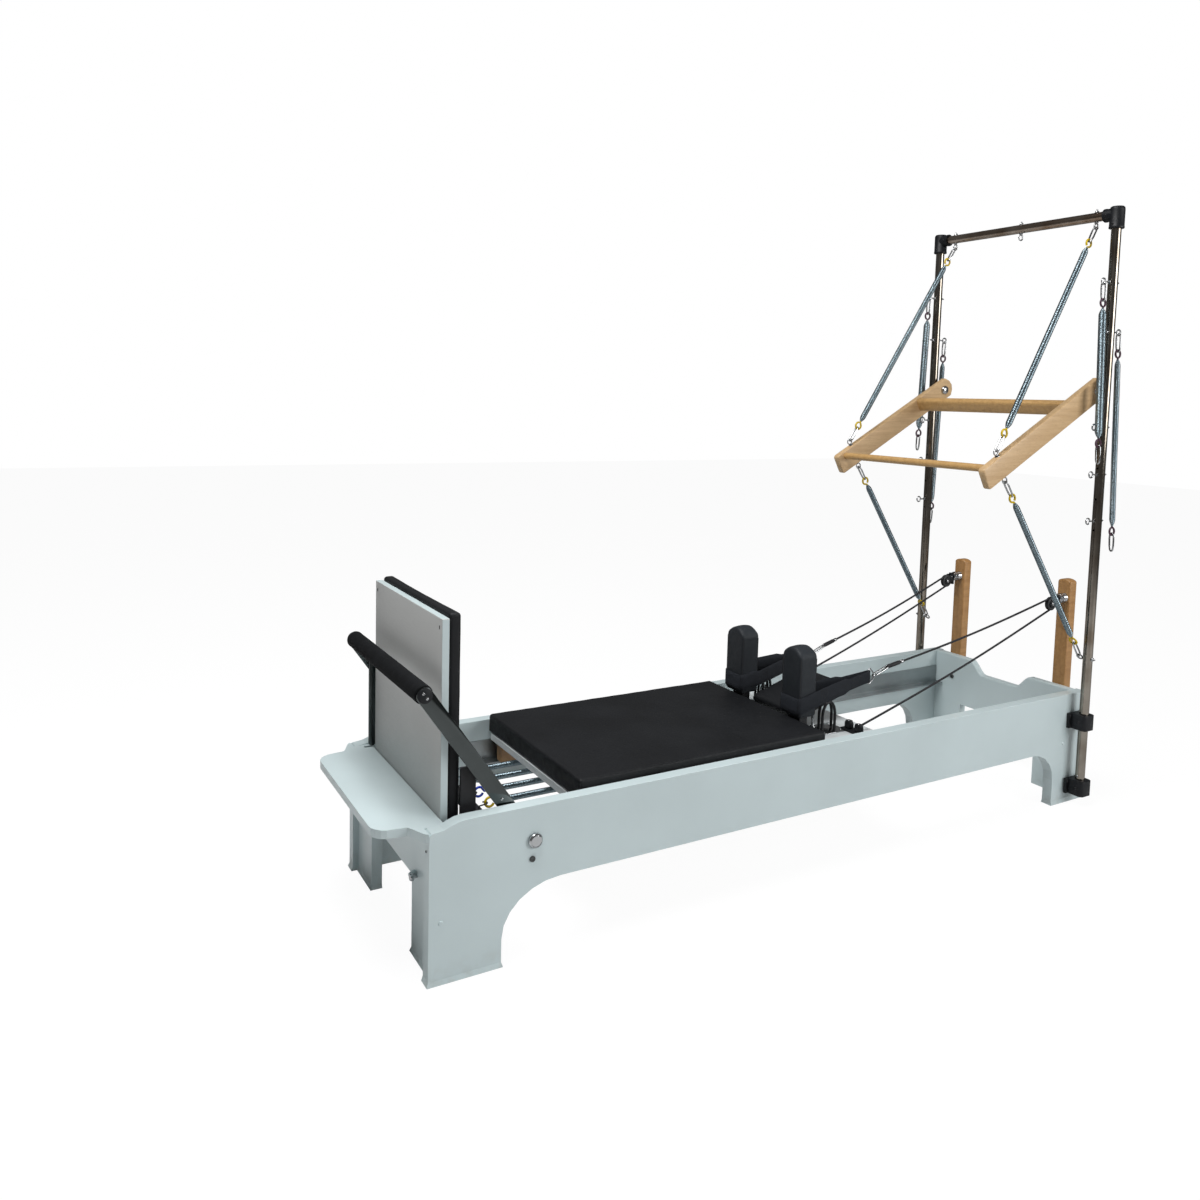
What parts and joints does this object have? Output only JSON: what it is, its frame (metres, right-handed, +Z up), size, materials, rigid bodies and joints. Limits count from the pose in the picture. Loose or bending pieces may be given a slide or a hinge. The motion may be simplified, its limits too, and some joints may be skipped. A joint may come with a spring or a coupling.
{
  "type": "pilates reformer with tower",
  "caption": "Pilates reformer: white wooden bed with a sprung, wheeled carriage, footbar, jumpboard, shoulder rests and rope pulleys, and a steel tube tower with a sprung push-through bar.",
  "frame": {"origin": "on the floor under the middle of the whole object's bounding box", "axes": "+X runs along the bed from the foot end (footbar) to the head end (tower), +Y from the near rail to the far rail, +Z up"},
  "size_m": [2.5786, 0.8216, 2.074],
  "materials": {
    "white_lacquer": "satin paint over wood",
    "white_board": "smooth white coated board",
    "black_vinyl": "black grained upholstery vinyl over foam",
    "black_foam": "closed-cell foam grip",
    "black_webbing": "woven webbing",
    "black_cord": "braided cord",
    "beech": "clear-lacquered beech",
    "stainless_steel": "polished stainless tube",
    "galvanised_spring": "blue-grey plated spring steel",
    "polished_flat_bar": "polished flat bar",
    "aluminium_track": "anodised extrusion",
    "dark_steel": "black painted steel",
    "black_nylon": "moulded nylon",
    "grey_nylon": "moulded nylon"
  },
  "bodies": {
    "frame": {"near_side_rail": "white_lacquer", "far_side_rail": "white_lacquer", "foot_end_panel": "white_lacquer", "head_end_panel": "white_lacquer", "foot_platform": "white_lacquer", "near_track": "aluminium_track", "far_track": "aluminium_track", "spring_bar": "dark_steel", "near_riser": "beech", "far_riser": "beech", "near_pulley_block": "black_nylon", "far_pulley_block": "black_nylon", "near_tower_post": "stainless_steel", "far_tower_post": "stainless_steel", "near_tower_elbow": "black_nylon", "far_tower_elbow": "black_nylon", "near_lower_clamp": "black_nylon", "far_lower_clamp": "black_nylon", "near_upper_clamp": "black_nylon", "far_upper_clamp": "black_nylon", "tower_crossbar": "stainless_steel", "near_outer_carriage_spring": "galvanised_spring", "near_inner_carriage_spring": "galvanised_spring", "middle_carriage_spring": "galvanised_spring", "far_inner_carriage_spring": "galvanised_spring", "far_outer_carriage_spring": "galvanised_spring", "near_rope": "black_cord", "far_rope": "black_cord", "near_upper_push_spring": "galvanised_spring", "near_lower_push_spring": "galvanised_spring", "far_upper_push_spring": "galvanised_spring", "far_lower_push_spring": "galvanised_spring"},
    "carriage": {"carriage_deck": "white_board", "carriage_pad": "black_vinyl", "near_carriage_runner": "beech", "far_carriage_runner": "beech", "carriage_spring_bar": "stainless_steel", "near_rope_cleat": "black_nylon", "far_rope_cleat": "black_nylon", "near_strap": "black_webbing", "far_strap": "black_webbing"},
    "near_front_wheel": {"near_front_wheel": "black_nylon"},
    "near_rear_wheel": {"near_rear_wheel": "black_nylon"},
    "far_front_wheel": {"far_front_wheel": "black_nylon"},
    "far_rear_wheel": {"far_rear_wheel": "black_nylon"},
    "near_shoulder_rest": {"near_shoulder_rest": "black_vinyl"},
    "far_shoulder_rest": {"far_shoulder_rest": "black_vinyl"},
    "headrest": {"headrest": "black_vinyl"},
    "near_pulley_sheave": {"near_pulley_sheave": "grey_nylon"},
    "far_pulley_sheave": {"far_pulley_sheave": "grey_nylon"},
    "footbar": {"footbar_frame": "polished_flat_bar", "footbar_foam": "black_foam"},
    "footbar_strut": {"footbar_strut": "polished_flat_bar"},
    "jumpboard": {"jumpboard_panel": "white_board", "jumpboard_pad": "black_vinyl"},
    "push_bar": {"push_bar": "beech"},
    "near_inner_hanging_spring": {"near_inner_hanging_spring": "galvanised_spring"},
    "near_outer_hanging_spring": {"near_outer_hanging_spring": "galvanised_spring"},
    "far_inner_hanging_spring": {"far_inner_hanging_spring": "galvanised_spring"},
    "far_outer_hanging_spring": {"far_outer_hanging_spring": "galvanised_spring"}
  },
  "joints": [
    {"name": "carriage_slide", "type": "slide", "parent": "frame", "child": "carriage", "axis": [1, 0, 0], "range_m": [0, 0.58], "stiffness_N_per_m": 600, "springref_m": -0.03, "deforming": ["near_outer_carriage_spring", "near_inner_carriage_spring", "middle_carriage_spring", "far_inner_carriage_spring", "far_outer_carriage_spring", "near_rope", "far_rope"]},
    {"name": "near_front_wheel_spin", "type": "hinge", "parent": "carriage", "child": "near_front_wheel", "pos_m": [-0.6583, -0.281, 0.2893], "axis": [0, 1, 0], "continuous": true},
    {"name": "near_rear_wheel_spin", "type": "hinge", "parent": "carriage", "child": "near_rear_wheel", "pos_m": [0.2017, -0.281, 0.2893], "axis": [0, 1, 0], "continuous": true},
    {"name": "far_front_wheel_spin", "type": "hinge", "parent": "carriage", "child": "far_front_wheel", "pos_m": [-0.6583, 0.281, 0.2893], "axis": [0, 1, 0], "continuous": true},
    {"name": "far_rear_wheel_spin", "type": "hinge", "parent": "carriage", "child": "far_rear_wheel", "pos_m": [0.2017, 0.281, 0.2893], "axis": [0, 1, 0], "continuous": true},
    {"name": "near_shoulder_rest_lift", "type": "slide", "parent": "carriage", "child": "near_shoulder_rest", "axis": [0, 0, 1], "range_m": [0, 0.06]},
    {"name": "far_shoulder_rest_lift", "type": "slide", "parent": "carriage", "child": "far_shoulder_rest", "axis": [0, 0, 1], "range_m": [0, 0.06]},
    {"name": "headrest_tilt", "type": "hinge", "parent": "carriage", "child": "headrest", "pos_m": [0.1517, 0, 0.376], "axis": [0, 1, 0], "range_deg": [-11, 13]},
    {"name": "near_pulley_sheave_spin", "type": "hinge", "parent": "frame", "child": "near_pulley_sheave", "pos_m": [1.1797, -0.235, 0.693], "axis": [0, 1, 0], "continuous": true},
    {"name": "far_pulley_sheave_spin", "type": "hinge", "parent": "frame", "child": "far_pulley_sheave", "pos_m": [1.1797, 0.235, 0.693], "axis": [0, 1, 0], "continuous": true},
    {"name": "footbar_tilt", "type": "hinge", "parent": "frame", "child": "footbar", "pos_m": [-0.9073, 0, 0.302], "axis": [0, 1, 0], "range_deg": [-30, 3]},
    {"name": "footbar_strut_fold", "type": "hinge", "parent": "footbar", "child": "footbar_strut", "pos_m": [-1.1298, 0.288, 0.61892], "axis": [0, 1, 0], "range_deg": [-36, 4]},
    {"name": "jumpboard_lift", "type": "slide", "parent": "frame", "child": "jumpboard", "axis": [0, 0, 1], "range_m": [0, 0.15]},
    {"name": "push_bar_swing", "type": "hinge", "parent": "frame", "child": "push_bar", "pos_m": [1.2057, 0, 1.453], "axis": [0, 1, 0], "range_deg": [-20, 35], "stiffness_Nm_per_rad": 40, "springref_deg": 7.44, "deforming": ["near_upper_push_spring", "near_lower_push_spring", "far_upper_push_spring", "far_lower_push_spring"]},
    {"name": "near_inner_hanging_spring_swing", "type": "hinge", "parent": "frame", "child": "near_inner_hanging_spring", "pos_m": [1.1548, -0.3745, 1.82], "axis": [0, 1, 0], "range_deg": [-0.5, 60]},
    {"name": "near_outer_hanging_spring_swing", "type": "hinge", "parent": "frame", "child": "near_outer_hanging_spring", "pos_m": [1.2566, -0.3745, 1.654], "axis": [0, 1, 0], "range_deg": [-60, 0.5]},
    {"name": "far_inner_hanging_spring_swing", "type": "hinge", "parent": "frame", "child": "far_inner_hanging_spring", "pos_m": [1.1548, 0.3745, 1.82], "axis": [0, 1, 0], "range_deg": [-0.5, 60]},
    {"name": "far_outer_hanging_spring_swing", "type": "hinge", "parent": "frame", "child": "far_outer_hanging_spring", "pos_m": [1.2566, 0.3745, 1.654], "axis": [0, 1, 0], "range_deg": [-60, 0.5]}
  ],
  "couplings": [
    {"joint": "near_front_wheel_spin", "follows": "carriage_slide", "rad_per_m": 45.455},
    {"joint": "near_rear_wheel_spin", "follows": "carriage_slide", "rad_per_m": 45.455},
    {"joint": "far_front_wheel_spin", "follows": "carriage_slide", "rad_per_m": 45.455},
    {"joint": "far_rear_wheel_spin", "follows": "carriage_slide", "rad_per_m": 45.455},
    {"joint": "footbar_strut_fold", "follows": "footbar_tilt", "ratio": 1.169}
  ]
}
